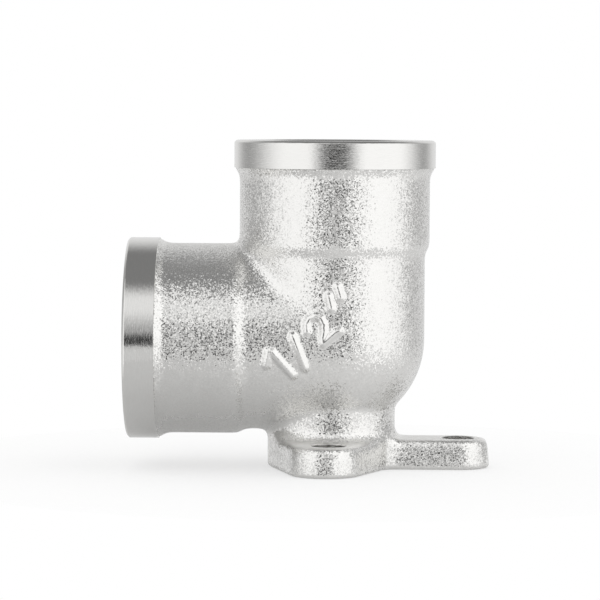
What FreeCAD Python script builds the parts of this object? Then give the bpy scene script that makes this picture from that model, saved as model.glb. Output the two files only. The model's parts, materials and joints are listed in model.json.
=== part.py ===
import FreeCAD, Part
import math
import os
from types import SimpleNamespace

import Sketcher

# Wall plate elbow for half-inch pipe, in millimetres: one forged, machined and plated piece.
# The origin is where the outlet axis meets the mounting face. +Z is the outlet and -X the inlet.

SIZES = [
    # Elbow
    ("barrel_diameter", "24.4", "both barrels and the ball corner between them"),
    ("outlet_reach", "26.8", "outlet end above the inlet axis"),
    ("inlet_reach", "27.8", "inlet end from the outlet axis"),
    ("mitre_radius", "2.8", "blend in the inside corner of the elbow"),
    # Outside of the sockets
    ("step_height", "0.62", "forged socket above the barrel"),
    ("step_length", "1.2", "cone from barrel to socket"),
    ("step_overlap", "0.1", "how deep the cone starts inside the barrel"),
    ("outlet_socket_length", "14.2", "outlet end to the step"),
    ("inlet_socket_length", "14.9", "inlet end to the step"),
    ("collar_height", "0.75", "turned collar above the forged socket"),
    ("collar_cone_length", "0.95", "forged cone behind a collar"),
    ("outlet_collar_length", "3.7", "turned band of the outlet"),
    ("inlet_collar_length", "4.2", "turned band of the inlet"),
    ("collar_chamfer", "0.3", "outer edge of a turned collar"),
    # Inside
    ("thread_crest_diameter", "18.63", "socket bore at the thread's crests"),
    ("mouth_chamfer", "1.35", "countersink at the mouth of a socket"),
    ("socket_depth", "14.0", "depth of a socket bore"),
    ("shoulder_width", "1.8", "flat ledge from socket bore to waterway"),
    ("drill_tip_length", "4.4", "cone at the end of a waterway"),
    # Neck and base plate
    ("neck_diameter", "17.1", "neck between elbow and plate"),
    ("neck_height", "1.1", "gap from the plate to the barrels"),
    ("neck_shift", "0.27", "neck centre towards the inlet"),
    ("neck_blend_radius", "1.2", "blend from neck to elbow"),
    ("foot_radius", "1.5", "blend from neck to plate"),
    ("plate_thickness", "4.0", "base plate"),
    ("hub_ledge", "0.1", "how far the plate stands out beyond the neck"),
    ("end_lug_radius", "4.3", "round tip of the end lug"),
    ("side_lug_radius", "5.0", "round tip of a side lug"),
    ("side_lug_reach", "11.3", "centre of a side lug's tip from the outlet axis"),
    ("side_lug_shift", "0.95", "side lugs' tips from the outlet axis towards the inlet"),
    ("notch_radius", "1.8", "inside corner between two lugs"),
    ("plate_top_radius", "0.85", "rounding of the plate's upper edge"),
    ("plate_base_chamfer", "0.3", "broken lower edge of the plate"),
    # Screw holes, one in each lug
    ("end_hole_reach", "16.85", "end hole from the outlet axis"),
    ("side_hole_spacing", "24.0", "from one side hole to the other"),
    ("side_hole_shift", "0.5", "side holes from the outlet axis towards the inlet"),
    ("hole_diameter", "4.5", "screw holes"),
]
TOLERANCE = 1e-4
UP = FreeCAD.Vector(0, 0, 1)
FULL_TURN = 360

# How a sketch numbers a curve's points and its own axes
START, END, CENTRE = range(1, 4)
X_AXIS, Y_AXIS = -1, -2
ORIGIN = (X_AXIS, START)


class Size:
    """A length that remembers the expression it came from, so that it can drive a feature."""

    def __init__(self, text, value):
        self.text = text
        self.value = value

    @staticmethod
    def of(number):
        return number if isinstance(number, Size) else Size(str(number), number)

    def __add__(self, other):
        other = Size.of(other)
        return Size(f"({self.text} + {other.text})", self.value + other.value)

    def __sub__(self, other):
        other = Size.of(other)
        return Size(f"({self.text} - {other.text})", self.value - other.value)

    def __mul__(self, other):
        other = Size.of(other)
        return Size(f"({self.text} * {other.text})", self.value * other.value)

    def __truediv__(self, other):
        other = Size.of(other)
        return Size(f"({self.text} / {other.text})", self.value / other.value)

    def __neg__(self):
        return Size(f"(-{self.text})", -self.value)


doc = FreeCAD.newDocument("wall_plate_elbow")

# Driving dimensions
sheet = doc.addObject("Spreadsheet::Sheet", "sizes")
for row, (alias, number, meaning) in enumerate(SIZES, start=1):
    sheet.set(f"A{row}", meaning)
    sheet.set(f"B{row}", number)
    sheet.setAlias(f"B{row}", alias)
doc.recompute()
size = SimpleNamespace(**{alias: Size(f"sizes.{alias}", sheet.get(alias)) for alias, _, _ in SIZES})
zero = Size("0", 0.0)


def new_body(name):
    """Start a body whose label is its name."""
    body = doc.addObject("PartDesign::Body", name)
    body.Label = name
    return body


def new_sketch(body, name, role, along_x=zero, along_y=zero, lift=zero):
    """Start a sketch on an origin plane, with its own origin moved along and off that plane."""
    sketch = body.newObject("Sketcher::SketchObject", name)
    plane = next(feature for feature in body.Origin.OriginFeatures if feature.Role == role)
    sketch.AttachmentSupport = (plane, "")
    sketch.MapMode = "FlatFace"
    for axis, length in (("x", along_x), ("y", along_y), ("z", lift)):
        sketch.setExpression(f".AttachmentOffset.Base.{axis}", length.text)
    return sketch


def hold(sketch, kind, first, second, length):
    """Add a dimension between two points, or on one curve, and bind it to the sheet."""
    positive = length if length.value >= 0 else -length
    index = sketch.addConstraint(Sketcher.Constraint(kind, *first, *second, positive.value))
    name = f"{kind.lower()}_{index}"
    sketch.renameConstraint(index, name)
    sketch.setExpression(f"Constraints.{name}", positive.text)


def hold_point(sketch, point, x, y):
    """Hold a point at its distances from the sketch's two axes."""
    for kind, axis, length in (("DistanceX", Y_AXIS, x), ("DistanceY", X_AXIS, y)):
        if length is zero:
            sketch.addConstraint(Sketcher.Constraint("PointOnObject", *point, axis))
        elif length.value > 0:
            hold(sketch, kind, ORIGIN, point, length)
        else:
            hold(sketch, kind, point, ORIGIN, length)


def draw_circle(sketch, centre_x, centre_y, radius):
    """Draw a circle with its centre and radius held."""
    centre = FreeCAD.Vector(centre_x.value, centre_y.value, 0)
    curve = sketch.addGeometry(Part.Circle(centre, UP, radius.value))
    hold(sketch, "Radius", (curve,), (), radius)
    hold_point(sketch, (curve, CENTRE), centre_x, centre_y)


def arc_between(start, end, radius):
    """Return the arc from start to end that turns left round its centre, less than half a turn."""
    chord = end - start
    half = chord.Length / 2
    left = FreeCAD.Vector(-chord.y, chord.x, 0) / chord.Length
    centre = (start + end) / 2 + left * math.sqrt(radius * radius - half * half)
    first = math.atan2(start.y - centre.y, start.x - centre.x)
    last = math.atan2(end.y - centre.y, end.x - centre.x)
    if last < first:
        last += 2 * math.pi
    return Part.ArcOfCircle(Part.Circle(centre, UP, radius), first, last)


def draw_profile(sketch, path):
    """Draw a closed profile.

    Each step of the path is a corner and the run that leaves it: "line", or ("left", radius) or
    ("right", radius) for an arc that turns that way.
    """
    points = [FreeCAD.Vector(x.value, y.value, 0) for x, y, _ in path]
    ends = []
    for index, (_, _, run) in enumerate(path):
        start = points[index]
        end = points[(index + 1) % len(points)]
        if run == "line":
            curve = sketch.addGeometry(Part.LineSegment(start, end))
            ends.append(((curve, START), (curve, END)))
            continue
        turn, radius = run
        if turn == "left":
            curve = sketch.addGeometry(arc_between(start, end, radius.value))
            ends.append(((curve, START), (curve, END)))
        else:
            curve = sketch.addGeometry(arc_between(end, start, radius.value))
            ends.append(((curve, END), (curve, START)))
        hold(sketch, "Radius", (curve,), (), radius)
    for index, (x, y, _) in enumerate(path):
        arriving = ends[index - 1][1]
        leaving = ends[index][0]
        sketch.addConstraint(Sketcher.Constraint("Coincident", *arriving, *leaving))
        hold_point(sketch, leaving, x, y)


def spin(body, kind, name, sketch, axis):
    """Turn a profile once round an axis of its sketch, to add or to cut."""
    feature = body.newObject(kind, name)
    feature.Profile = sketch
    feature.ReferenceAxis = (sketch, [axis])
    feature.Angle = FULL_TURN
    doc.recompute()
    return feature


def extrude(body, kind, name, sketch, length):
    """Push an outline up by a length, to add or to cut."""
    feature = body.newObject(kind, name)
    feature.Profile = sketch
    feature.setExpression("Length", length.text)
    feature.Reversed = kind == "PartDesign::Pocket"
    doc.recompute()
    return feature


def dress_edges(body, kind, name, base, chosen, dimension):
    """Round or chamfer the edges of base that pass a test."""
    names = [f"Edge{index}" for index, edge in enumerate(base.Shape.Edges, start=1) if chosen(edge)]
    feature = body.newObject(kind, name)
    feature.Base = (base, names)
    label, length = dimension
    feature.setExpression(label, length.text)
    doc.recompute()
    return feature


def round_edges(body, name, base, chosen, radius):
    """Round the edges of base that pass a test."""
    return dress_edges(body, "PartDesign::Fillet", name, base, chosen, ("Radius", radius))


def sample_points(edge):
    """Return a few points along an edge, with its ends."""
    steps = 6
    span = edge.LastParameter - edge.FirstParameter
    return [edge.valueAt(edge.FirstParameter + span * step / steps) for step in range(steps + 1)]


def is_upright_line(edge):
    """Tell an edge that runs straight up, such as the seam of an upright cylinder."""
    ends = sample_points(edge)
    return math.hypot(ends[0].x - ends[-1].x, ends[0].y - ends[-1].y) < TOLERANCE


def lies_level(edge, height):
    """Tell an edge that stays at one height."""
    return all(abs(point.z - height.value) < TOLERANCE for point in sample_points(edge))


def lies_on_column(edge, centre_x, radius, lowest, highest):
    """Tell an edge that runs round an upright column between two heights."""
    points = sample_points(edge)
    on_wall = all(abs(math.hypot(p.x - centre_x.value, p.y) - radius.value) < TOLERANCE for p in points)
    in_reach = all(lowest.value < p.z < highest.value for p in points)
    return on_wall and in_reach and not is_upright_line(edge)


def lies_on_mitre(edge):
    """Tell an edge where the two barrels cross in the elbow's inside corner."""
    points = sample_points(edge)
    on_wall = all(abs(math.hypot(p.x, p.y) - barrel_radius.value) < TOLERANCE for p in points)
    return on_wall and all(abs(p.z - axis_height.value + p.x) < TOLERANCE for p in points)


def is_rim(shape, edge, lowest):
    """Tell an edge, above a height, where an upright wall ends at a face that isn't upright."""
    points = sample_points(edge)
    if is_upright_line(edge) or any(point.z < lowest.value for point in points):
        return False
    middle = points[len(points) // 2]
    walls = 0
    for face in shape.ancestorsOfType(edge, Part.Face):
        normal = face.normalAt(*face.Surface.parameter(middle))
        walls += abs(normal.z) < TOLERANCE
    return walls == 1


# Base plate: a forged blank with a flared foot for the neck, trimmed to the outline of three lugs
neck_radius = size.neck_diameter / 2
neck_x = -size.neck_shift
hub_radius = neck_radius + size.hub_ledge
foot_top = size.plate_thickness + size.foot_radius
blank_radius = size.neck_shift + size.end_hole_reach + size.end_lug_radius * 2
trim_radius = blank_radius + size.end_lug_radius
side_lug_x = -size.side_lug_shift


def draw_lugs(sketch):
    """Draw the plate's outline: arcs round the lugs and the hub, joined by tangent lines."""
    end_lug = size.end_lug_radius.value
    side_lug = size.side_lug_radius.value
    hub = hub_radius.value
    notch = size.notch_radius.value
    tip_centre = FreeCAD.Vector(size.end_hole_reach.value, 0, 0)
    back_centre = FreeCAD.Vector(side_lug_x.value, size.side_lug_reach.value, 0)
    hub_centre = FreeCAD.Vector(neck_x.value, 0, 0)
    spoke = back_centre - hub_centre
    swing = math.acos((hub - side_lug) / spoke.Length)
    bearing = math.atan2(spoke.y, spoke.x)
    right = bearing - swing
    left = bearing + swing

    def polar(centre, radius, angle):
        return centre + FreeCAD.Vector(math.cos(angle), math.sin(angle), 0) * radius

    def mirrored(point):
        return FreeCAD.Vector(point.x, -point.y, 0)

    def arc(centre, radius, first, last):
        return Part.ArcOfCircle(Part.Circle(centre, UP, radius), first, last)

    # The notch's centre is one notch radius off the back lug's right side and off the end lug's side
    beside = polar(back_centre, side_lug + notch, right)
    drop = (beside.y - end_lug - notch) / math.cos(right)
    notch_centre = polar(beside, drop, right - math.pi / 2)
    notch_on_side = polar(notch_centre, notch, right + math.pi)
    notch_on_end = FreeCAD.Vector(notch_centre.x, end_lug, 0)
    tip_corner = FreeCAD.Vector(tip_centre.x, end_lug, 0)
    back_right = polar(back_centre, side_lug, right)
    back_left = polar(back_centre, side_lug, left)
    hub_left = polar(hub_centre, hub, left)

    tip, end_back, notch_back, side_back, back = range(5)
    flank_back, nose, flank_front, front, side_front, notch_front, end_front = range(5, 12)
    curves = {
        tip: arc(tip_centre, end_lug, -math.pi / 2, math.pi / 2),
        end_back: Part.LineSegment(tip_corner, notch_on_end),
        notch_back: arc(notch_centre, notch, right + math.pi, 3 * math.pi / 2),
        side_back: Part.LineSegment(notch_on_side, back_right),
        back: arc(back_centre, side_lug, right, left),
        flank_back: Part.LineSegment(back_left, hub_left),
        nose: arc(hub_centre, hub, left, 2 * math.pi - left),
        flank_front: Part.LineSegment(mirrored(hub_left), mirrored(back_left)),
        front: arc(mirrored(back_centre), side_lug, -left, -right),
        side_front: Part.LineSegment(mirrored(back_right), mirrored(notch_on_side)),
        notch_front: arc(mirrored(notch_centre), notch, math.pi / 2, math.pi - right),
        end_front: Part.LineSegment(mirrored(notch_on_end), mirrored(tip_corner)),
    }
    for curve in sorted(curves):
        sketch.addGeometry(curves[curve])
    inward = (notch_back, notch_front)
    for curve in sorted(curves):
        following = (curve + 1) % len(curves)
        leaving = (curve, START if curve in inward else END)
        arriving = (following, END if following in inward else START)
        sketch.addConstraint(Sketcher.Constraint("Tangent", *leaving, *arriving))
    hold(sketch, "Radius", (tip,), (), size.end_lug_radius)
    for curve in (back, front):
        hold(sketch, "Radius", (curve,), (), size.side_lug_radius)
    for curve in inward:
        hold(sketch, "Radius", (curve,), (), size.notch_radius)
    hold(sketch, "Radius", (nose,), (), hub_radius)
    hold_point(sketch, (tip, CENTRE), size.end_hole_reach, zero)
    hold_point(sketch, (back, CENTRE), side_lug_x, size.side_lug_reach)
    hold_point(sketch, (front, CENTRE), side_lug_x, -size.side_lug_reach)
    hold_point(sketch, (nose, CENTRE), neck_x, zero)
    for curve in (end_back, end_front):
        sketch.addConstraint(Sketcher.Constraint("Horizontal", curve))


plate_body = new_body("base_plate")
blank_sketch = new_sketch(plate_body, "blank_profile", "XZ_Plane", along_x=neck_x)
draw_profile(blank_sketch, [
    (zero, zero, "line"),
    (blank_radius, zero, "line"),
    (blank_radius, size.plate_thickness, "line"),
    (neck_radius + size.foot_radius, size.plate_thickness, ("right", size.foot_radius)),
    (neck_radius, foot_top, "line"),
    (zero, foot_top, "line"),
])
blank = spin(plate_body, "PartDesign::Revolution", "blank", blank_sketch, "V_Axis")

trim_sketch = new_sketch(plate_body, "trim_outline", "XY_Plane")
draw_lugs(trim_sketch)
draw_circle(trim_sketch, neck_x, zero, trim_radius)
trimmed = extrude(plate_body, "PartDesign::Pocket", "trimmed_lugs", trim_sketch, foot_top)

upper_edge = round_edges(
    plate_body,
    "upper_edge",
    trimmed,
    lambda edge: is_rim(trimmed.Shape, edge, size.plate_thickness / 2),
    size.plate_top_radius,
)
lower_edge = dress_edges(
    plate_body,
    "PartDesign::Chamfer",
    "lower_edge",
    upper_edge,
    lambda edge: lies_level(edge, zero),
    ("Size", size.plate_base_chamfer),
)

# Neck, from inside the plate up into the elbow
body = new_body("elbow_body")
neck_start = size.plate_thickness / 2
barrel_radius = size.barrel_diameter / 2
axis_height = size.plate_thickness + size.neck_height + barrel_radius
neck_sketch = new_sketch(body, "neck_outline", "XY_Plane", lift=neck_start)
draw_circle(neck_sketch, neck_x, zero, neck_radius)
neck = extrude(body, "PartDesign::Pad", "neck", neck_sketch, axis_height - neck_start)

# Outlet barrel, closed by the ball that makes the elbow's outside corner
outlet_sketch = new_sketch(body, "outlet_barrel_profile", "XZ_Plane", along_y=axis_height)
draw_profile(outlet_sketch, [
    (zero, -barrel_radius, ("left", barrel_radius)),
    (barrel_radius, zero, "line"),
    (barrel_radius, size.outlet_reach, "line"),
    (zero, size.outlet_reach, "line"),
])
outlet = spin(body, "PartDesign::Revolution", "outlet_barrel", outlet_sketch, "V_Axis")

# Inlet barrel, with the neck and the elbow's inside corner blended into it
inlet_sketch = new_sketch(body, "inlet_barrel_profile", "XZ_Plane", along_y=axis_height)
draw_profile(inlet_sketch, [
    (-size.inlet_reach, zero, "line"),
    (zero, zero, "line"),
    (zero, barrel_radius, "line"),
    (-size.inlet_reach, barrel_radius, "line"),
])
inlet = spin(body, "PartDesign::Revolution", "inlet_barrel", inlet_sketch, "H_Axis")
mitre = round_edges(body, "elbow_mitre", inlet, lies_on_mitre, size.mitre_radius)
neck_blend = round_edges(
    body,
    "neck_blend",
    mitre,
    lambda edge: lies_on_column(edge, neck_x, neck_radius, neck_start, axis_height),
    size.neck_blend_radius,
)

# The plate is forged in one with the neck
joined = body.newObject("PartDesign::Boolean", "plate_joined")
joined.Type = "Fuse"
joined.setObjects([plate_body])
doc.recompute()

# Sockets: a step up from the barrel, a plain forged length, a cone and the turned collar
socket_radius = barrel_radius + size.step_height
collar_radius = socket_radius + size.collar_height


def socket_path(reach, socket_length, collar_length):
    """Return a socket's outside as steps of distance along its axis, radius and run."""
    step_end = reach - socket_length
    step_start = step_end - size.step_length
    collar_start = reach - collar_length
    return [
        (step_start, zero, "line"),
        (step_start, barrel_radius - size.step_overlap, "line"),
        (step_end, socket_radius, "line"),
        (collar_start - size.collar_cone_length, socket_radius, "line"),
        (collar_start, collar_radius, "line"),
        (reach - size.collar_chamfer, collar_radius, "line"),
        (reach, collar_radius - size.collar_chamfer, "line"),
        (reach, zero, "line"),
    ]


# Inside: a countersunk mouth, the socket bore at the thread's crests, a shoulder and the waterway
crest_radius = size.thread_crest_diameter / 2
waterway_radius = crest_radius - size.shoulder_width


def bore_path(reach):
    """Return a socket's inside as steps of distance along its axis, radius and run."""
    bore_end = reach - size.socket_depth
    return [
        (reach, zero, "line"),
        (reach, crest_radius + size.mouth_chamfer, "line"),
        (reach - size.mouth_chamfer, crest_radius, "line"),
        (bore_end, crest_radius, "line"),
        (bore_end, waterway_radius, "line"),
        (zero, waterway_radius, "line"),
        (-size.drill_tip_length, zero, "line"),
    ]


def up_the_outlet(path):
    """Stand a path on the outlet axis."""
    return [(radius, along, run) for along, radius, run in path]


def out_of_the_inlet(path):
    """Lay a path on the inlet axis."""
    return [(-along, radius, run) for along, radius, run in path]


outlet_outside = socket_path(size.outlet_reach, size.outlet_socket_length, size.outlet_collar_length)
inlet_outside = socket_path(size.inlet_reach, size.inlet_socket_length, size.inlet_collar_length)
outlet_inside = bore_path(size.outlet_reach)
inlet_inside = bore_path(size.inlet_reach)

turned = []
for name, path, axis, kind in (
    ("outlet_socket", up_the_outlet(outlet_outside), "V_Axis", "PartDesign::Revolution"),
    ("inlet_socket", out_of_the_inlet(inlet_outside), "H_Axis", "PartDesign::Revolution"),
    ("outlet_bore", up_the_outlet(outlet_inside), "V_Axis", "PartDesign::Groove"),
    ("inlet_bore", out_of_the_inlet(inlet_inside), "H_Axis", "PartDesign::Groove"),
):
    profile = new_sketch(body, f"{name}_profile", "XZ_Plane", along_y=axis_height)
    draw_profile(profile, path)
    turned.append(spin(body, kind, name, profile, axis))

# Screw holes through the lugs
hole_radius = size.hole_diameter / 2
side_hole_x = -size.side_hole_shift
side_hole_y = size.side_hole_spacing / 2
hole_sketch = new_sketch(body, "screw_hole_centres", "XY_Plane")
draw_circle(hole_sketch, size.end_hole_reach, zero, hole_radius)
draw_circle(hole_sketch, side_hole_x, side_hole_y, hole_radius)
draw_circle(hole_sketch, side_hole_x, -side_hole_y, hole_radius)
holes = extrude(body, "PartDesign::Pocket", "screw_holes", hole_sketch, foot_top)

# Nothing is written unless every feature worked and the piece is one sound solid
for item in doc.Objects:
    if "Invalid" in item.State or "Error" in item.State:
        raise RuntimeError(f"{item.Name} failed: {item.State}")
if body.Shape.isNull() or not body.Shape.isValid() or len(body.Shape.Solids) != 1:
    raise RuntimeError("the elbow is not one sound solid")
steps = [neck, outlet, inlet, mitre, neck_blend, joined, *turned, holes]
for before, after in zip(steps, steps[1:]):
    cuts = after.TypeId in ("PartDesign::Groove", "PartDesign::Pocket")
    change = after.Shape.Volume - before.Shape.Volume
    if (change >= 0) == cuts:
        raise RuntimeError(f"{after.Name} does not change the piece as it should")

os.makedirs("parts", exist_ok=True)
body.Shape.exportStep(os.path.join("parts", f"{body.Label}.step"))
box = body.Shape.BoundBox
print(f"{body.Label}: {body.Shape.Volume:.1f} mm3, {len(body.Shape.Faces)} faces, "
      f"{box.XLength:.2f} x {box.YLength:.2f} x {box.ZLength:.2f} mm")
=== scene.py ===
# %% [markdown]
# # A wall plate elbow
#
# The real thing is one brass forging: two pipe sockets at a right angle, on a base plate with three
# lugs for wall screws. It is blasted to a fine grain, its two ends are turned on a lathe and tapped,
# and then all of it is plated with nickel. This lesson dresses the drawn part in that skin. It starts
# by loading the part, so that everything that follows can be measured from it.

# %% The drawn part
import json
import math

import bmesh
import bpy
from mathutils import Matrix, Vector
from mathutils.geometry import intersect_point_line


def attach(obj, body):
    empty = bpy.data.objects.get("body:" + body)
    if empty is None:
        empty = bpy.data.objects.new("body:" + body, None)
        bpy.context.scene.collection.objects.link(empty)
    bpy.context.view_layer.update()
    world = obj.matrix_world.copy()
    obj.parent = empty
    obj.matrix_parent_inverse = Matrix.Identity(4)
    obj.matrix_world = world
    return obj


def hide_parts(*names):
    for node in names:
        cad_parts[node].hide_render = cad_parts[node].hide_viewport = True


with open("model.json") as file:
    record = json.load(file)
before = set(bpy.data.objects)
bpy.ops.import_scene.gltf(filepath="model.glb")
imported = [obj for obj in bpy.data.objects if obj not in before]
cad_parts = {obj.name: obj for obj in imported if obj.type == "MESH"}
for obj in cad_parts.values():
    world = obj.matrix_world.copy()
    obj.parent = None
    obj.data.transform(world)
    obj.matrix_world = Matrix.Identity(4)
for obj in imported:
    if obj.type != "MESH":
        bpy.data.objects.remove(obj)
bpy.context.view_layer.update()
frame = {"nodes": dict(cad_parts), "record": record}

MM = 0.001
drawn_part = frame["nodes"]["elbow_body"]
mounts = {mount["name"]: mount for mount in frame["record"]["mounts"]}

# %% [markdown]
# ## The forging
#
# A forging has no sharp corner where the die had to let the metal flow: the steps round the sockets,
# the ledge under each collar and the foot of the neck are all soft. The drawing has them as plain
# cones and small fillets. Bevels would need every edge to be picked by hand. A voxel remesh of a
# merged copy gives the whole surface even little squares instead, and then smoothing a few times
# rounds each corner: the more passes, the rounder. The squares are about as small as they can be while
# the finished mesh stays under 200,000 triangles.

# %% A forging blank of even squares
VOXEL = 0.35 * MM
SAME_POINT = 1e-7

blank = bmesh.new()
blank.from_mesh(drawn_part.data)
bmesh.ops.remove_doubles(blank, verts=blank.verts, dist=SAME_POINT)
blank_mesh = bpy.data.meshes.new("forging_blank")
blank.to_mesh(blank_mesh)
blank.free()

blank_object = bpy.data.objects.new("forging_blank", blank_mesh)
bpy.context.scene.collection.objects.link(blank_object)
remesh = blank_object.modifiers.new("even_squares", "REMESH")
remesh.mode = "VOXEL"
remesh.voxel_size = VOXEL
even = bpy.data.meshes.new_from_object(blank_object.evaluated_get(bpy.context.evaluated_depsgraph_get()))
bpy.data.objects.remove(blank_object)

body = bmesh.new()
body.from_mesh(even)
polish = body.verts.layers.float.new("polish")
print("forging blank:", len(body.faces), "squares")

# %% [markdown]
# Each socket is easiest to think of on its own axis, so a small record keeps what the drawing says
# about it: a matrix from the socket's own space, where +Z runs out of its mouth and zero is half way
# along the threaded wall, and the distances along that axis.

# %% The two sockets
MOUTH_CHAMFER = 1.35 * MM
COLLAR_LENGTH = {"outlet": 3.7 * MM, "inlet": 4.2 * MM}


class Socket:
    """One socket: where its axis is and how far along it the wall, the collar and the end are."""

    def __init__(self, name):
        mount = mounts[name]
        turn = Vector((0, 0, 1)).rotation_difference(Vector(mount["axis"])).to_matrix().to_4x4()
        self.name = name
        self.to_part = Matrix.Translation(mount["pos_m"]) @ turn
        self.from_part = self.to_part.inverted()
        self.bore = mount["dims"]["r_mm"] * MM
        self.wall_end = mount["dims"]["length_mm"] * MM / 2
        self.ledge = -self.wall_end
        self.end = self.wall_end + MOUTH_CHAMFER
        self.collar_start = self.end - COLLAR_LENGTH[name]

    def along(self, point):
        """How far out along the socket's axis a point of the part is, and how far from the axis."""
        local = self.from_part @ point
        return local.z, math.hypot(local.x, local.y)


sockets = [Socket("outlet"), Socket("inlet")]
for socket in sockets:
    print(socket.name, "ends", round(socket.end / MM, 2), "mm beyond the middle of its wall")

# %% [markdown]
# The whole skin gets a few passes, to take off the marks of the voxels, and the edge of the underside
# only the first of them, because it is milled flat. The outside of the sockets, where the steps are,
# gets more: on a barrel they change nothing, but they turn a cone with two creases into one soft S.

# %% Soft steps, the way metal fills a die
FIRST_PASSES = 2
SKIN_PASSES = 2
STEP_PASSES = 5
MILLED_EDGE = 0.6 * MM
STEP_REACH = 17 * MM
SOCKET_OUTSIDE = 11.6 * MM


def on_socket_outside(point):
    """Tell a point on the outside of a socket, from its end to well past its step."""
    for socket in sockets:
        along, radius = socket.along(point)
        if radius > SOCKET_OUTSIDE and along > socket.end - STEP_REACH:
            return True
    return False


def smooth(mesh, points, passes):
    """Let every point move half way to the middle of its neighbours, a number of times."""
    for _ in range(passes):
        bmesh.ops.smooth_vert(
            mesh, verts=points, factor=0.5, use_axis_x=True, use_axis_y=True, use_axis_z=True)


smooth(body, body.verts[:], FIRST_PASSES)
smooth(body, [point for point in body.verts if point.co.z > MILLED_EDGE], SKIN_PASSES)
step_points = [point for point in body.verts if on_socket_outside(point.co)]
smooth(body, step_points, STEP_PASSES)
for point in body.verts:
    point.co.z = max(point.co.z, 0)
print("softened steps:", len(step_points), "of", len(body.verts), "points")

# %% [markdown]
# A die opens straight up, so the sides of the plate lean in by a few degrees to let the forging out.
# The drawing keeps them upright. Here each point of a side moves in by its height times the slope. The
# drilled holes stay as they are, and so does the plate's edge close under the neck.

# %% Lean the plate's sides in
DRAFT = math.radians(5)
NECK_CLEAR = 9 * MM
NECK_FADE = 2 * MM
HOLE_EDGE = 0.85 * MM

end_screw = mounts["end_screw"]
wall_screws = mounts["wall_screws"]
plate_top = end_screw["dims"]["length_mm"] * MM
hole_radius = end_screw["dims"]["r_mm"] * MM
half_spacing = wall_screws["dims"]["spacing_y_mm"] * MM / 2
holes = [
    Vector(end_screw["pos_m"]).xy,
    Vector(wall_screws["pos_m"]).xy + Vector((0, half_spacing)),
    Vector(wall_screws["pos_m"]).xy - Vector((0, half_spacing)),
]


def draft_share(spot):
    """How much of the draft a spot of the plate gets: none in a hole or close to the neck."""
    if any((spot - hole).length < hole_radius + HOLE_EDGE for hole in holes):
        return 0
    return min(max((spot.length - NECK_CLEAR) / NECK_FADE, 0), 1)


body.normal_update()
leaning = [point for point in body.verts if point.co.z < plate_top and draft_share(point.co.xy) > 0]
for point in leaning:
    lean = point.normal.xy * point.co.z * math.tan(DRAFT) * draft_share(point.co.xy)
    point.co -= lean.to_3d()
print("plate sides lean in:", len(leaning), "points")

# %% [markdown]
# The plate's upper edge is rounder than the other corners, because metal fills a die last where it is
# deepest. More smoothing passes on the top of the plate and the upper part of its sides round it: a
# flat face has nothing to smooth, so only the edge changes.

# %% Round the plate's upper edge
EDGE_START = 2.4 * MM
EDGE_PASSES = 8
TOP_SLACK = VOXEL / 8

plate_edge = [
    point for point in body.verts
    if EDGE_START < point.co.z < plate_top + TOP_SLACK and draft_share(point.co.xy) > 0
]
smooth(body, plate_edge, EDGE_PASSES)
print("rounded the plate's upper edge:", len(plate_edge), "points")

# %% [markdown]
# The screw holes are drilled after forging, so their edges are crisp. The soft ones are taken out with a
# little of the skin round them. A drilled wall is spun from its profile, with a broken edge at the top
# and at the bottom, and a bridge joins each of its rims to the skin.

# %% Drill the screw holes
FORGED, TURNED_UP, TURNED_ASIDE = range(3)
SHARP = math.radians(12)
RIM_WIDTH = 0.4 * MM
HOLE_BREAK = 0.12 * MM
HOLE_STEPS = 72
LEVEL = 0.9


def spin_hole():
    """Return the drilled wall of a screw hole with a narrow rim, standing on the origin."""
    wall = bmesh.new()
    profile = [
        (hole_radius + RIM_WIDTH, plate_top),
        (hole_radius + HOLE_BREAK, plate_top),
        (hole_radius, plate_top - HOLE_BREAK),
        (hole_radius, HOLE_BREAK),
        (hole_radius + HOLE_BREAK, 0),
        (hole_radius + RIM_WIDTH, 0),
    ]
    points = [wall.verts.new((radius, 0, height)) for radius, height in profile]
    for pair in zip(points, points[1:]):
        wall.edges.new(pair)
    bmesh.ops.spin(
        wall, geom=wall.verts[:] + wall.edges[:], cent=(0, 0, 0), axis=(0, 0, 1), angle=2 * math.pi,
        steps=HOLE_STEPS, use_merge=True)
    bmesh.ops.recalc_face_normals(wall, faces=wall.faces)
    for face in wall.faces:
        face.material_index = FORGED if abs(face.normal.z) > LEVEL else TURNED_UP
    for edge in wall.edges:
        edge.smooth = edge.calc_face_angle(0) < SHARP
    return wall


def take_in(part, name):
    """Move a spun part into the body's mesh."""
    mesh = bpy.data.meshes.new(name)
    part.to_mesh(mesh)
    part.free()
    body.from_mesh(mesh)


def drill(hole):
    """Put a drilled wall in the place of a soft hole."""
    def in_reach(point):
        return point.co.z < plate_top + HOLE_EDGE and (point.co.xy - hole).length < hole_radius + HOLE_EDGE
    soft = [face for face in body.faces if all(in_reach(point) for point in face.verts)]
    bmesh.ops.delete(body, geom=soft, context="FACES")
    wall = spin_hole()
    bmesh.ops.translate(wall, verts=wall.verts, vec=hole.to_3d())
    take_in(wall, "drilled_wall")
    rims = [edge for edge in body.edges if edge.is_boundary]
    for height in (plate_top, 0):
        rim = [edge for edge in rims if abs(edge.verts[0].co.z - height) < plate_top / 2]
        for face in bmesh.ops.bridge_loops(body, edges=rim)["faces"]:
            face.material_index = FORGED


for hole in holes:
    drill(hole)
print("drilled", len(holes), "holes;", sum(edge.is_boundary for edge in body.edges), "open edges left")

# %% [markdown]
# ## The size mark
#
# The pipe size stands on the corner of the elbow, raised, because the smith cut it into the die. It
# could be separate letters laid on the skin, but they would meet it in a hard line. Here the skin
# itself rises: the squares near the strokes are cut finer, and each point moves out by a height that
# falls off as a cosine with its distance from the nearest stroke. The same cosine is kept as a value of
# the point, because what stands out is rubbed smooth.

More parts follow.
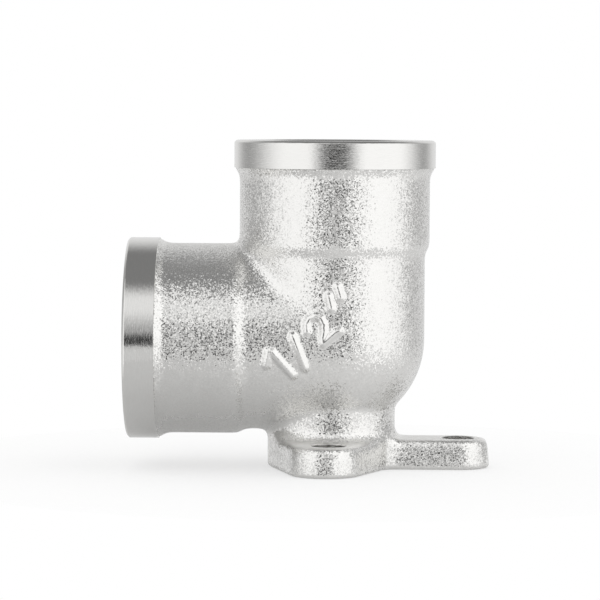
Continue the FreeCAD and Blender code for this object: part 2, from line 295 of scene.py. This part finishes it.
# %% Strokes of the mark, as the smith would set them out
MARK = [
    [(-8.50, 16.39), (-8.77, 14.58)],
    [(-8.00, 16.26), (-5.24, 13.25)],
    [(-5.34, 18.45), (-3.66, 14.28)],
    [(-3.42, 19.05), (-3.52, 19.96), (-3.10, 20.71), (-2.32, 21.10), (-1.61, 20.78), (-1.21, 19.97),
     (-1.18, 19.01), (-1.33, 18.22), (-1.25, 17.52), (0.40, 18.99), (0.79, 19.15)],
    [(-0.57, 23.69), (-0.21, 22.11)],
    [(0.57, 24.94), (0.98, 23.56)],
]
STROKE_HALF_WIDTH = 0.85 * MM
STROKE_HEIGHT = 0.42 * MM

mark_runs = []
for stroke in MARK:
    corners = [Vector((x, 0, z)) * MM for x, z in stroke]
    mark_runs += zip(corners, corners[1:])


def stroke_distance(point):
    """Distance from a point to the nearest stroke, seen from the front."""
    flat = Vector((point.x, 0, point.z))
    nearest = math.inf
    for start, end in mark_runs:
        foot, share = intersect_point_line(flat, start, end)
        if share < 0:
            foot = start
        elif share > 1:
            foot = end
        nearest = min(nearest, (flat - foot).length)
    return nearest


print("mark:", len(MARK), "strokes in", len(mark_runs), "runs")

# %% Raise the mark
FRONT_OF_MARK = -8 * MM
MARK_MARGIN = 2 * VOXEL
MARK_CUTS = 2
MARK_PASSES = 2


def near_mark(point, reach):
    """Tell a point on the front skin within reach of a stroke."""
    return point.y < FRONT_OF_MARK and stroke_distance(point) < reach


fine_edges = [
    edge for edge in body.edges
    if all(near_mark(point.co, STROKE_HALF_WIDTH + MARK_MARGIN) for point in edge.verts)
]
bmesh.ops.subdivide_edges(body, edges=fine_edges, cuts=MARK_CUTS, use_grid_fill=True)
mark_points = [point for point in body.verts if near_mark(point.co, STROKE_HALF_WIDTH)]
smooth(body, mark_points, MARK_PASSES)
body.normal_update()
for point in mark_points:
    slope = min(stroke_distance(point.co) / STROKE_HALF_WIDTH, 1)
    point[polish] = (1 + math.cos(math.pi * slope)) / 2
    point.co += point.normal * STROKE_HEIGHT * point[polish]
print("mark raised:", len(mark_points), "points")

# %% [markdown]
# ## The turned ends
#
# Each end is turned to a bright collar, faced, countersunk and tapped. These are lathe shapes, so
# they are spun: a profile from the bore, over the end, to the foot of the collar. The thread could be
# a separate spring, but a tap cuts it out of the wall, so here the wall is spun with many rings and
# each point moves out into the metal by the thread's depth. The depth depends on the height and the
# angle together, which is what makes it wind.

# %% Spin a socket
COLLAR_RADIUS = 13.57 * MM
COLLAR_CHAMFER = 0.3 * MM
WALL_STUB = 0.8 * MM
AROUND = 128
WALL_RINGS = 72
MOUTH_RINGS = 8
EDGE_BREAK = 0.07 * MM
BREAK_SEGMENTS = 2
ON_RING = 100 * SAME_POINT


def spin_socket(socket):
    """Return a socket's turned surfaces, standing on +Z in the socket's own space."""
    turned = bmesh.new()
    profile = [
        (socket.bore, socket.ledge + WALL_STUB),
        (socket.bore, socket.wall_end),
        (socket.bore + MOUTH_CHAMFER, socket.end),
        (COLLAR_RADIUS - COLLAR_CHAMFER, socket.end),
        (COLLAR_RADIUS, socket.end - COLLAR_CHAMFER),
        (COLLAR_RADIUS, socket.collar_start),
    ]
    points = [turned.verts.new((radius, 0, along)) for radius, along in profile]
    wall, mouth, face, _, collar = [turned.edges.new(pair) for pair in zip(points, points[1:])]
    bmesh.ops.subdivide_edges(turned, edges=[wall], cuts=WALL_RINGS)
    bmesh.ops.subdivide_edges(turned, edges=[mouth, face, collar], cuts=MOUTH_RINGS)
    bmesh.ops.spin(
        turned, geom=turned.verts[:] + turned.edges[:], cent=(0, 0, 0), axis=(0, 0, 1),
        angle=2 * math.pi, steps=AROUND, use_merge=True)
    bmesh.ops.recalc_face_normals(turned, faces=turned.faces)
    return turned


def ring_edges(turned, radius, along):
    """Return the edges of the ring at a radius and a height."""
    def on_ring(point):
        return (abs(math.hypot(point.co.x, point.co.y) - radius) < ON_RING
                and abs(point.co.z - along) < ON_RING)
    return [edge for edge in turned.edges if all(on_ring(point) for point in edge.verts)]


def break_edges(turned, socket):
    """Take the sharpness off the turned edges."""
    rings = [
        (socket.bore + MOUTH_CHAMFER, socket.end),
        (COLLAR_RADIUS - COLLAR_CHAMFER, socket.end),
        (COLLAR_RADIUS, socket.end - COLLAR_CHAMFER),
    ]
    edges = [edge for radius, along in rings for edge in ring_edges(turned, radius, along)]
    bmesh.ops.bevel(
        turned, geom=edges, offset=EDGE_BREAK, offset_type="OFFSET", affect="EDGES",
        segments=BREAK_SEGMENTS, profile=0.5, material=-1)


# %% [markdown]
# A half-inch pipe thread has 14 turns to the inch. Its crests and roots are rounded, so a cosine is
# close to its true form. A tap is tapered at its tip: towards the ledge the thread gets shallower and
# fades into the plain bore. In the countersink only what is deeper than the cone is left.

# %% Tap the wall
THREAD_PITCH = 25.4 * MM / 14
THREAD_DEPTH = 1.16 * MM
PLAIN_BORE = 1.2 * MM
TAP_TAPER = 2.4 * MM


def tap(turned, socket):
    """Wind the thread into a socket's wall."""
    for point in turned.verts:
        radius = math.hypot(point.co.x, point.co.y)
        if radius > socket.bore + MOUTH_CHAMFER - EDGE_BREAK or point.co.z > socket.end - EDGE_BREAK:
            continue
        turns = point.co.z / THREAD_PITCH - math.atan2(point.co.y, point.co.x) / (2 * math.pi)
        depth = THREAD_DEPTH * (1 - math.cos(2 * math.pi * turns)) / 2
        entry = (point.co.z - socket.ledge - WALL_STUB - PLAIN_BORE) / TAP_TAPER
        cut = socket.bore + depth * min(max(entry, 0), 1)
        if cut > radius:
            point.co.x *= cut / radius
            point.co.y *= cut / radius


# %% [markdown]
# The forging and the turned ends are one piece of brass, so they become one mesh. The forging is cut
# off at the foot of each collar and the drawn bore is taken out down to its ledge. That leaves two
# open rims at each end, and a bridge closes each of them to the rim of the spun socket.

# %% Cut the forging open for its sockets
RIM_GAP = 0.03 * MM
STUB_GAP = 0.2 * MM
BORE_SLACK = 1 * MM


def all_parts(mesh):
    return mesh.verts[:] + mesh.edges[:] + mesh.faces[:]


def in_bore(socket, face):
    """Tell a face of the drawn bore's wall or of the ledge at its bottom."""
    spots = [socket.along(point.co) for point in face.verts]
    return all(
        radius < socket.bore + BORE_SLACK and along > socket.ledge - BORE_SLACK for along, radius in spots)


def cut_open(socket):
    """Cut the forging off at the collar and take out the drawn bore."""
    outwards = socket.to_part.to_3x3() @ Vector((0, 0, 1))
    foot = socket.to_part @ Vector((0, 0, socket.collar_start - RIM_GAP))
    bmesh.ops.bisect_plane(
        body, geom=all_parts(body), dist=SAME_POINT, plane_co=foot, plane_no=outwards, clear_outer=True)
    stub_height = socket.ledge + WALL_STUB - STUB_GAP
    stub = socket.to_part @ Vector((0, 0, stub_height))
    bore_faces = [face for face in body.faces if in_bore(socket, face)]
    bore_edges = dict.fromkeys(edge for face in bore_faces for edge in face.edges)
    bore_points = dict.fromkeys(point for face in bore_faces for point in face.verts)
    bmesh.ops.bisect_plane(
        body, geom=[*bore_points, *bore_edges, *bore_faces], dist=SAME_POINT, plane_co=stub,
        plane_no=outwards)
    wall = [
        face for face in body.faces
        if in_bore(socket, face) and socket.along(face.calc_center_median())[0] > stub_height
    ]
    bmesh.ops.delete(body, geom=wall, context="FACES")


# %% Join the sockets on
def join_on(socket, turned, finish):
    """Put a spun socket in its place in the body and bridge the rims."""
    for face in turned.faces:
        face.material_index = finish
    turned.transform(socket.to_part)
    take_in(turned, "turned_" + socket.name)
    rims = [edge for edge in body.edges if edge.is_boundary]
    outer = []
    inner = []
    for edge in rims:
        along, radius = socket.along(edge.verts[0].co)
        if abs(along - socket.collar_start) < 2 * RIM_GAP and radius > SOCKET_OUTSIDE:
            outer.append(edge)
        elif abs(along - socket.ledge - WALL_STUB) < 2 * STUB_GAP and radius < socket.bore + BORE_SLACK:
            inner.append(edge)
    for rim in (outer, inner):
        bmesh.ops.bridge_loops(body, edges=rim)
    for edge in body.edges:
        along, radius = socket.along(edge.verts[0].co)
        if (along > socket.collar_start - RIM_GAP / 2 and radius > socket.bore + MOUTH_CHAMFER - EDGE_BREAK
                and edge.calc_face_angle(0) > SHARP):
            edge.smooth = False
    print(socket.name, "joined over rims of", len(outer), "and", len(inner), "edges")


for socket, finish in zip(sockets, (TURNED_UP, TURNED_ASIDE)):
    cut_open(socket)
    turned = spin_socket(socket)
    break_edges(turned, socket)
    tap(turned, socket)
    join_on(socket, turned, finish)

# %% The finished piece
bmesh.ops.recalc_face_normals(body, faces=body.faces)
for face in body.faces:
    face.smooth = True
elbow_mesh = bpy.data.meshes.new("elbow")
body.to_mesh(elbow_mesh)
open_edges = sum(edge.is_boundary for edge in body.edges)
body.free()
elbow = bpy.data.objects.new("elbow", elbow_mesh)
bpy.context.scene.collection.objects.link(elbow)
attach(elbow, "root")
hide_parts("elbow_body")
elbow_mesh.calc_loop_triangles()
print("elbow:", len(elbow_mesh.loop_triangles), "triangles,", open_edges, "open edges")

# %% [markdown]
# ## The finishes
#
# Shader maths reads best as sums, so one small class wraps a node's output. Adding or multiplying two
# of them adds the Math node that does it, and one method makes any other node.

# %% Sums that build nodes
class Wire:
    """An output of a node. Arithmetic on wires adds Math nodes."""

    def __init__(self, tree, socket=None):
        self.tree = tree
        self.socket = socket

    def node(self, kind, settings=None, inputs=None, output=0):
        """Add a node, set it up, fill or link its inputs and return one of its outputs."""
        made = self.tree.nodes.new(kind)
        for name, value in (settings or {}).items():
            setattr(made, name, value)
        for name, value in (inputs or {}).items():
            if isinstance(value, Wire):
                self.tree.links.new(value.socket, made.inputs[name])
            else:
                made.inputs[name].default_value = value
        return Wire(self.tree, made.outputs[output])

    def math(self, operation, first, second=0.0):
        return self.node("ShaderNodeMath", {"operation": operation}, {0: first, 1: second})

    def __add__(self, other):
        return self.math("ADD", self, other)

    __radd__ = __add__

    def __mul__(self, other):
        return self.math("MULTIPLY", self, other)

    __rmul__ = __mul__

    def __sub__(self, other):
        return self.math("SUBTRACT", self, other)

    def __rsub__(self, other):
        return self.math("SUBTRACT", other, self)

    def __truediv__(self, other):
        return self.math("DIVIDE", self, other)


def new_finish(name):
    """Start a material with its default node tree; return it, its Principled shader and a wire to build
    from.
    """
    finish = bpy.data.materials.new(name)
    finish.use_nodes = True
    shader = finish.node_tree.nodes["Principled BSDF"]
    return finish, shader, Wire(finish.node_tree)


def link(value, shader, name):
    value.tree.links.new(value.socket, shader.inputs[name])


print("finishes can be written as sums")

# %% [markdown]
# Shot leaves the skin full of tiny dents, each with its own slope, and the plating makes each of them a
# small mirror. That is why the skin sparkles black and white wherever dark and light meet in the room.
# Noise in a bump node alone gives soft waves instead. Here the cells of a Voronoi texture are the
# dents: the random colour of a cell tilts the normal of everything in it. Noise adds the waves below.
# Level faces lie square to the shot, so they are duller, and those that face up have painted light from
# above: their colour is paler.

# %% Blasted and plated skin
BLASTED = (0.79, 0.785, 0.77, 1)
BLASTED_IN_PITS = (0.72, 0.715, 0.70, 1)
# The pale colour is painted light from above, for the faces that face up.
BLASTED_PAINTED_LIT_FROM_ABOVE = (0.97, 0.965, 0.95, 1)
DENT = 0.145 * MM
DENT_SLOPE = 0.38
RUBBED_OFF = 0.8
WAVE = 0.40 * MM
WAVE_DEPTH = 0.03 * MM
DULL = 0.18
DULL_LESS_IN_WAVES = 0.10
DULL_MORE_ON_LEVEL = 0.38
WAVE_DETAIL = 1.0
LUMP_ROUGHNESS = 0.6
MIDDLE_SHADE = (0.5, 0.5, 0.5)


def grain(tree, place, size, detail):
    """Noise whose lumps are about a given size."""
    return tree.node(
        "ShaderNodeTexNoise", {"noise_dimensions": "3D"},
        {"Vector": place, "Scale": 1 / size, "Detail": detail, "Roughness": LUMP_ROUGHNESS}, "Fac")


def tilted(tree, normal, shade, slope):
    """Tilt a normal by a random shade."""
    lean = tree.node("ShaderNodeVectorMath", {"operation": "SUBTRACT"}, {0: shade, 1: MIDDLE_SHADE})
    lean = tree.node("ShaderNodeVectorMath", {"operation": "SCALE"}, {"Vector": lean, "Scale": slope})
    leaning = tree.node("ShaderNodeVectorMath", {"operation": "ADD"}, {0: normal, 1: lean})
    return tree.node("ShaderNodeVectorMath", {"operation": "NORMALIZE"}, {0: leaning})


def mixed(tree, share, first, second):
    """Go from one colour to another as the share goes from 0 to 1."""
    return tree.node("ShaderNodeMix", {"data_type": "RGBA"}, {0: share, 6: first, 7: second}, 2)


def forged_finish():
    """Blasted nickel: small tilted dents over soft waves, rubbed smooth on the mark."""
    finish, shader, tree = new_finish("blasted_nickel")
    place = tree.node("ShaderNodeTexCoord", output="Object")
    normal = tree.node("ShaderNodeTexCoord", output="Normal")
    dents = tree.node("ShaderNodeTexVoronoi", {}, {"Vector": place, "Scale": 1 / DENT}, "Color")
    waves = grain(tree, place, WAVE, WAVE_DETAIL)
    rubbed = tree.node("ShaderNodeAttribute", {"attribute_name": "polish"}, output="Fac")
    level = tree.node("ShaderNodeSeparateXYZ", inputs={"Vector": normal}, output="Z")
    # Painted light from above: the more a face faces up, the paler its colour.
    painted_top_light = level * tree.math("MAXIMUM", level, 0.0)
    tint = mixed(tree, painted_top_light, mixed(tree, dents, BLASTED_IN_PITS, BLASTED), BLASTED_PAINTED_LIT_FROM_ABOVE)
    bump = tree.node("ShaderNodeBump", {}, {"Strength": 1.0, "Distance": WAVE_DEPTH, "Height": waves})
    dull = DULL - waves * DULL_LESS_IN_WAVES + tree.math("POWER", level * level, 2.0) * DULL_MORE_ON_LEVEL
    link(tint, shader, "Base Color")
    link(dull, shader, "Roughness")
    link(tilted(tree, bump, dents, DENT_SLOPE * (1 - rubbed * RUBBED_OFF)), shader, "Normal")
    shader.inputs["Metallic"].default_value = 1.0
    return finish


elbow_mesh.materials.append(forged_finish())
print("skin:", elbow_mesh.materials[FORGED].name)

# %% [markdown]
# A lathe tool leaves a fine spiral of lines round the collars, closer than the eye can count. Noise that
# is squeezed along the axis and drawn out round it makes such lines. They run round the outlet's axis on
# one end and round the inlet's on the other, so the same finish is made once for each axis.

# %% Turned collars and threads
TURNED = (0.77, 0.765, 0.75, 1)
TURNED_IN_LINES = (0.70, 0.695, 0.68, 1)
TOOL_LINES = 0.14 * MM
LINE_RUN = 0.9 * MM
LINE_DEPTH = 0.022 * MM
SMEAR = 2.5 * MM
BRIGHT = 0.07
DULL_IN_SMEARS = 0.06
DULL_IN_LINES = 0.04
LINE_DETAIL = 2.0


def turned_finish(name, axis):
    """Bright nickel with tool lines round an axis."""
    finish, shader, tree = new_finish(name)
    place = tree.node("ShaderNodeTexCoord", output="Object")
    stretch = [1 / LINE_RUN] * 3
    stretch["XYZ".index(axis)] = 1 / TOOL_LINES
    drawn_out = tree.node("ShaderNodeVectorMath", {"operation": "MULTIPLY"}, {0: place, 1: stretch})
    lines = grain(tree, drawn_out, 1, LINE_DETAIL)
    smears = grain(tree, place, SMEAR, LINE_DETAIL)
    bump = tree.node("ShaderNodeBump", {}, {"Strength": 1.0, "Distance": LINE_DEPTH, "Height": lines})
    link(mixed(tree, lines, TURNED_IN_LINES, TURNED), shader, "Base Color")
    link(BRIGHT + smears * DULL_IN_SMEARS + lines * DULL_IN_LINES, shader, "Roughness")
    link(bump, shader, "Normal")
    shader.inputs["Metallic"].default_value = 1.0
    return finish


elbow_mesh.materials.append(turned_finish("turned_nickel_up", "Z"))
elbow_mesh.materials.append(turned_finish("turned_nickel_aside", "X"))
print("finishes on the elbow:", [finish.name for finish in elbow_mesh.materials])

# %% [markdown]
# ## The studio
#
# Bright metal shows mostly what stands round it. The part stands on a small white table in a white
# room. What the metal mirrors is a tent, a big ball round the set that only reflections can see: soft
# white panels to the left, to the right and above the camera, a white backdrop, and dark between
# them. Lamps would give the panels hard edges, and a painted tent lets them fade.

# %% Table and room
TABLE_RADIUS = 60 * MM
TABLE_DROP = 0.03 * MM
TABLE_SIDES = 96
PAPER = (0.42, 0.42, 0.42, 1)
GLAZE = 0.15
GLOW_SEEN = 0.58
# The glow that reflections see on the table is painted: weaker under the inlet as painted shade, stronger
# by the plate as painted light.
GLOW_IN_PAINTED_SHADE_UNDER_INLET = 0.24
GLOW_IN_PAINTED_LIGHT_BY_PLATE = 0.38
UNDER_INLET = -20 * MM
BY_PLATE = 5 * MM

world = bpy.data.worlds.new("white_room")
bpy.context.scene.world = world
world.use_nodes = True
world.node_tree.nodes["Background"].inputs["Color"].default_value = (1, 1, 1, 1)
world.node_tree.nodes["Background"].inputs["Strength"].default_value = 1.0


def on_set(name, shape, finish):
    """Stand a piece of the studio on the set."""
    mesh = bpy.data.meshes.new(name)
    shape.to_mesh(mesh)
    shape.free()
    mesh.materials.append(finish)
    piece = bpy.data.objects.new(name, mesh)
    bpy.context.scene.collection.objects.link(piece)
    return piece


def ramp(tree, value, start, full, low=0.0, high=1.0):
    """Rise softly from a low to a high level as a value goes from its start to its full."""
    return tree.node(
        "ShaderNodeMapRange", {"interpolation_type": "SMOOTHSTEP"},
        {"Value": value, "From Min": start, "From Max": full, "To Min": low, "To Max": high})


def table_finish():
    """Pale paper under glass on a light table. The eye sees plain paper, and the metal sees the glass."""
    finish, glazed, tree = new_finish("lit_paper")
    glazed.inputs["Base Color"].default_value = PAPER
    glazed.inputs["Roughness"].default_value = GLAZE
    plain = tree.node("ShaderNodeBsdfDiffuse", inputs={"Color": PAPER})
    seen, mirrored, through = [
        tree.node("ShaderNodeLightPath", output="Is " + ray + " Ray")
        for ray in ("Camera", "Glossy", "Transmission")]
    place = tree.node("ShaderNodeTexCoord", output="Object")
    x = tree.node("ShaderNodeSeparateXYZ", inputs={"Vector": place}, output="X")
    # Painted shade under the inlet and painted light by the plate, seen only in reflections.
    mirrored_glow_with_painted_shade = ramp(tree, x, UNDER_INLET, BY_PLATE, GLOW_IN_PAINTED_SHADE_UNDER_INLET, GLOW_IN_PAINTED_LIGHT_BY_PLATE)
    strength = seen * GLOW_SEEN + (mirrored + through) * mirrored_glow_with_painted_shade
    glow = tree.node("ShaderNodeEmission", inputs={"Color": (1, 1, 1, 1), "Strength": strength})
    glass = Wire(finish.node_tree, glazed.outputs["BSDF"])
    paper = tree.node("ShaderNodeMixShader", inputs={0: mirrored, 1: plain, 2: glass})
    lit = tree.node("ShaderNodeAddShader", inputs={0: paper, 1: glow})
    link(lit, finish.node_tree.nodes["Material Output"], "Surface")
    return finish


table = bmesh.new()
bmesh.ops.create_circle(
    table, cap_ends=True, segments=TABLE_SIDES, radius=TABLE_RADIUS,
    matrix=Matrix.Translation((0, 0, -TABLE_DROP)))
on_set("table", table, table_finish())
print("table:", TABLE_RADIUS / MM, "mm in radius")

# %% [markdown]
# The tent is painted in order, each panel over the ones before it. A panel has a level of light and
# soft edges. They are given in degrees, sideways from the front and up from the horizon: where it
# starts, where it is full, where it is still full and where it ends.

# %% The tent that the metal mirrors
TENT_RADIUS = 1.5
TENT_SIDES = 64
TENT_RINGS = 32
BETWEEN_PANELS = 0.42
EVERYWHERE = (-400, -360, 360, 400)
SIDE_HEIGHT = (-80, -60, 35, 62)
PANELS = {
    "table far off": (0.72, EVERYWHERE, (-400, -360, -5, -2)),
    "open roof": (0.25, EVERYWHERE, (35, 65, 100, 120)),
    "backdrop on the left": (0.85, (-400, -360, -152, -118), (-120, -100, 25, 65)),
    "backdrop on the right": (0.85, (118, 152, 360, 400), (-120, -100, 25, 65)),
    "panel above the camera": (0.95, (-110, -60, 60, 110), (9, 38, 47, 69)),
    "dark round the camera": (0.02, (-34, -22, 22, 34), (-7, -3, 3, 12)),
    "left panel": (1.21, (-115, -55, -31, -6), SIDE_HEIGHT),
    "right panel": (1.26, (7, 37, 76, 124), SIDE_HEIGHT),
}


def band(tree, angle, edges):
    """Rise softly from 0 to 1 and fall again, with edges in degrees."""
    start, full, fading, end = [math.radians(edge) for edge in edges]
    return ramp(tree, angle, start, full) * (1 - ramp(tree, angle, fading, end))


def tent_finish():
    """The light of all panels, by the bearing and the height of a spot on the tent."""
    finish, shader, tree = new_finish("studio_tent")
    finish.node_tree.nodes.remove(shader)
    finish.cycles.emission_sampling = "NONE"
    place = tree.node("ShaderNodeTexCoord", output="Object")
    x, y, z = [
        tree.node("ShaderNodeSeparateXYZ", inputs={"Vector": place}, output=axis) for axis in "XYZ"]
    sideways = tree.math("ARCTAN2", x, 0 - y)
    up = tree.math("ARCSINE", z / TENT_RADIUS)
    light = BETWEEN_PANELS
    for level, across, rise in PANELS.values():
        light = light + (level - light) * band(tree, sideways, across) * band(tree, up, rise)
    glow = tree.node("ShaderNodeEmission", inputs={"Color": (1, 1, 1, 1), "Strength": light})
    link(glow, finish.node_tree.nodes["Material Output"], "Surface")
    return finish


tent = bmesh.new()
bmesh.ops.create_uvsphere(tent, u_segments=TENT_SIDES, v_segments=TENT_RINGS, radius=TENT_RADIUS)
tent_piece = on_set("studio_tent", tent, tent_finish())
for ray in ("visible_camera", "visible_diffuse", "visible_transmission", "visible_shadow"):
    setattr(tent_piece, ray, False)
print("tent:", len(PANELS), "panels on a ball of", TENT_RADIUS, "m")

# %% [markdown]
# ## The camera
#
# The photograph was taken from far away with a long lens, a little above the part: the two mouths are
# almost edge on. The place and the lens were found by fitting the drawn part's outline to it.

# %% A long lens
SENSOR = 36
LENS = 195.25
CAMERA_PLACE = Vector((5.18, -438.92, 48.43)) * MM
CAMERA_TURN = (86.62, -0.30, 1.298)
NEAREST = 0.01
FARTHEST = 10

camera_data = bpy.data.cameras.new("long_lens")
camera_data.sensor_width = SENSOR
camera_data.lens = LENS
camera_data.clip_start = NEAREST
camera_data.clip_end = FARTHEST
camera = bpy.data.objects.new("camera", camera_data)
camera.location = CAMERA_PLACE
camera.rotation_euler = [math.radians(angle) for angle in CAMERA_TURN]
bpy.context.scene.collection.objects.link(camera)
bpy.context.scene.camera = camera
bpy.context.scene.view_settings.view_transform = "Standard"
print("camera:", [round(value, 3) for value in camera.location])
